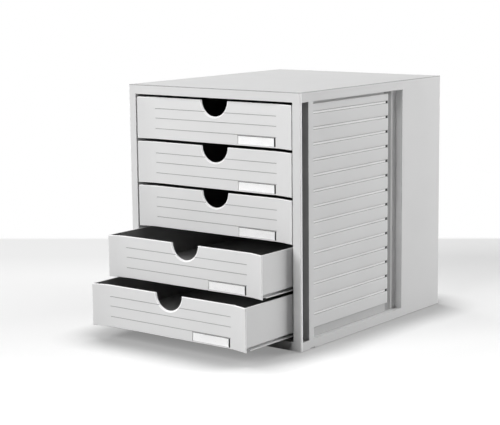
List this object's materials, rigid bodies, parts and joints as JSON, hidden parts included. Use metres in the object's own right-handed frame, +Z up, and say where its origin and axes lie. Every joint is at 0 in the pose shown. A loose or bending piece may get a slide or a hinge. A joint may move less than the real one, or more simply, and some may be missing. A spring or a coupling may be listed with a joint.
{
  "type": "file box with drawers",
  "caption": "Desktop file box: slatted side walls and stacked pull-out drawers for papers, each with a half-round finger notch and a label pocket.",
  "frame": {"origin": "middle of the housing's footprint, on the surface that the box stands on", "axes": "+X to the right as seen from the front, +Y from the front to the back, +Z up; drawers pull out along -Y"},
  "size_m": [0.275, 0.4237, 0.32],
  "materials": {
    "housing_plastic": "fine satin moulded texture, light grey",
    "drawer_plastic": "fine satin moulded texture, light grey",
    "label_card": "blank white card",
    "clear_plastic": "clear glossy film",
    "foot_rubber": "matt rubber"
  },
  "bodies": {
    "housing": {"front_frame": "housing_plastic", "side_shell_right": "housing_plastic", "side_shell_left": "housing_plastic", "runner_panel_right": "housing_plastic", "runner_panel_left": "housing_plastic", "top_panel": "housing_plastic", "base_panel": "housing_plastic", "rear_panel": "housing_plastic", "foot_front_left": "foot_rubber", "foot_front_right": "foot_rubber", "foot_rear_left": "foot_rubber", "foot_rear_right": "foot_rubber"},
    "drawer_unit_1": {"drawer_1": "drawer_plastic", "label_card_1": "label_card", "label_cover_1": "clear_plastic"},
    "drawer_unit_2": {"drawer_2": "drawer_plastic", "label_card_2": "label_card", "label_cover_2": "clear_plastic"},
    "drawer_unit_3": {"drawer_3": "drawer_plastic", "label_card_3": "label_card", "label_cover_3": "clear_plastic"},
    "drawer_unit_4": {"drawer_4": "drawer_plastic", "label_card_4": "label_card", "label_cover_4": "clear_plastic"},
    "drawer_unit_5": {"drawer_5": "drawer_plastic", "label_card_5": "label_card", "label_cover_5": "clear_plastic"}
  },
  "joints": [
    {"name": "drawer_1_slide", "type": "slide", "parent": "housing", "child": "drawer_unit_1", "axis": [0, -1, 0], "range_m": [0, 0.25]},
    {"name": "drawer_2_slide", "type": "slide", "parent": "housing", "child": "drawer_unit_2", "axis": [0, -1, 0], "range_m": [0, 0.25]},
    {"name": "drawer_3_slide", "type": "slide", "parent": "housing", "child": "drawer_unit_3", "axis": [0, -1, 0], "range_m": [0, 0.25]},
    {"name": "drawer_4_slide", "type": "slide", "parent": "housing", "child": "drawer_unit_4", "axis": [0, -1, 0], "range_m": [-0.0615, 0.1885]},
    {"name": "drawer_5_slide", "type": "slide", "parent": "housing", "child": "drawer_unit_5", "axis": [0, -1, 0], "range_m": [-0.094, 0.156]}
  ]
}
